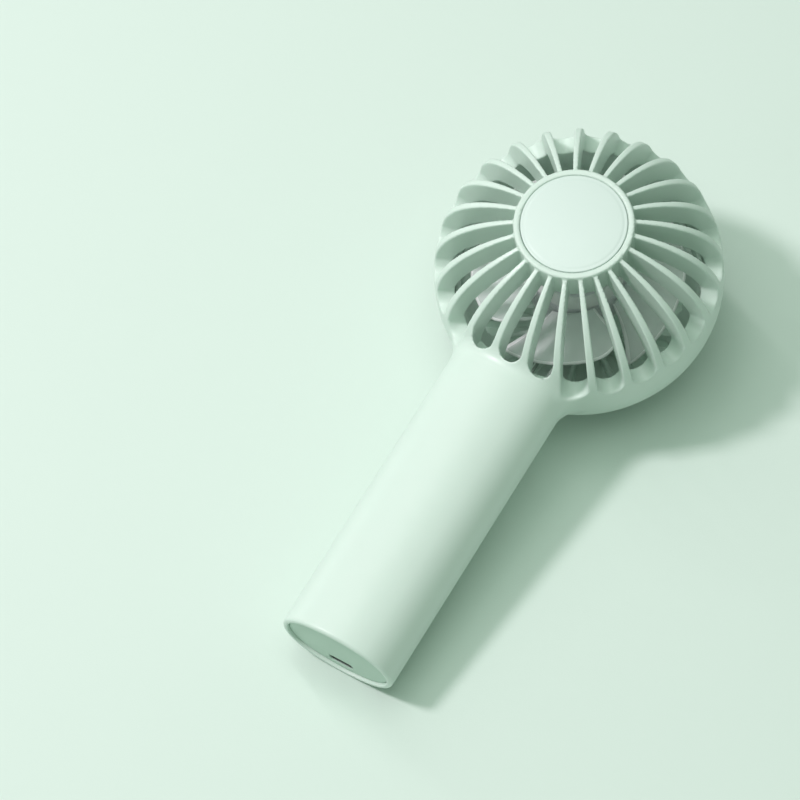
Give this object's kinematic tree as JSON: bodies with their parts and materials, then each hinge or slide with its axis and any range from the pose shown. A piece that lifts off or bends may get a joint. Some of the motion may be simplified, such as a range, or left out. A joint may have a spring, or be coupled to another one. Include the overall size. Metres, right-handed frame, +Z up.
{
  "type": "handheld fan",
  "caption": "Pocket electric fan with a round slotted head, front disc, clear blades and a straight oval handle, lying on its back.",
  "frame": {"origin": "on the ground under the middle of the fan lying on its back", "axes": "+Z up, +Y from the handle towards the head, +X to the right seen from the handle end"},
  "size_m": [0.088, 0.187, 0.0691],
  "materials": {
    "mint_shell": "satin moulded ABS, very fine grain",
    "mint_badge": "satin, slightly smoother than the shell",
    "mint_cover": "satin moulded ABS",
    "mint_cap": "satin moulded ABS",
    "mint_button": "satin",
    "clear_blade": "clear polycarbonate, lightly frosted",
    "can_steel": "drawn steel",
    "magnet": "bonded ferrite ring",
    "shaft_steel": "ground steel",
    "bearing_bronze": "sintered bronze",
    "tube_brass": "turned brass",
    "lamination": "stacked steel laminations",
    "copper_wire": "enamelled copper wire",
    "board_green": "solder mask over glass-fibre board",
    "screw_steel": "plated steel",
    "lead_white": "flexible insulation",
    "lead_red": "flexible insulation",
    "lead_black": "flexible insulation",
    "lead_yellow": "flexible insulation",
    "chip_black": "moulded epoxy",
    "ferrite": "ferrite block",
    "switch_black": "moulded nylon",
    "plunger_white": "moulded nylon",
    "led_yellow": "phosphor window",
    "lens_clear": "frosted light pipe",
    "frame_white": "moulded ABS, unpainted",
    "cell_steel": "nickel-plated can",
    "cell_wrap": "heat-shrunk sleeve",
    "nickel": "nickel strip",
    "socket_steel": "stamped steel shell",
    "tongue_black": "moulded nylon"
  },
  "bodies": {
    "fan": {"housing": "mint_shell", "front_badge": "mint_badge", "rear_grille": "mint_cover", "rear_cap": "mint_cover", "shaft_bearings": "bearing_bronze", "bearing_tube": "tube_brass", "stator_core": "lamination", "stator_coils": "copper_wire", "motor_base": "board_green", "motor_screws": "screw_steel", "motor_leads": "lead_white", "control_board": "board_green", "control_chip": "chip_black", "power_inductor": "ferrite", "speed_switch": "switch_black", "indicator_leds": "led_yellow", "indicator_lenses": "lens_clear", "board_screws": "screw_steel", "inner_frame": "frame_white", "battery_cell": "cell_steel", "battery_sleeve": "cell_wrap", "battery_tabs": "nickel", "battery_lead_positive": "lead_red", "battery_lead_negative": "lead_black", "charge_leads": "lead_yellow", "charge_board": "board_green", "charge_chip": "chip_black", "usb_socket": "socket_steel", "usb_tongue": "tongue_black", "base_cap": "mint_cap"},
    "rotor": {"impeller": "clear_blade", "rotor_can": "can_steel", "rotor_magnet": "magnet", "motor_shaft": "shaft_steel"},
    "button": {"speed_button": "mint_button", "switch_plunger": "plunger_white"}
  },
  "joints": [
    {"name": "impeller_spin", "type": "hinge", "parent": "fan", "child": "rotor", "pos_m": [0, 0.0495, 0.03299], "axis": [0, -0.14, 0.9901], "continuous": true},
    {"name": "button_press", "type": "slide", "parent": "fan", "child": "button", "axis": [0, -0.14, 0.9901], "range_m": [0, 0.0004], "stiffness_N_per_m": 4000}
  ]
}
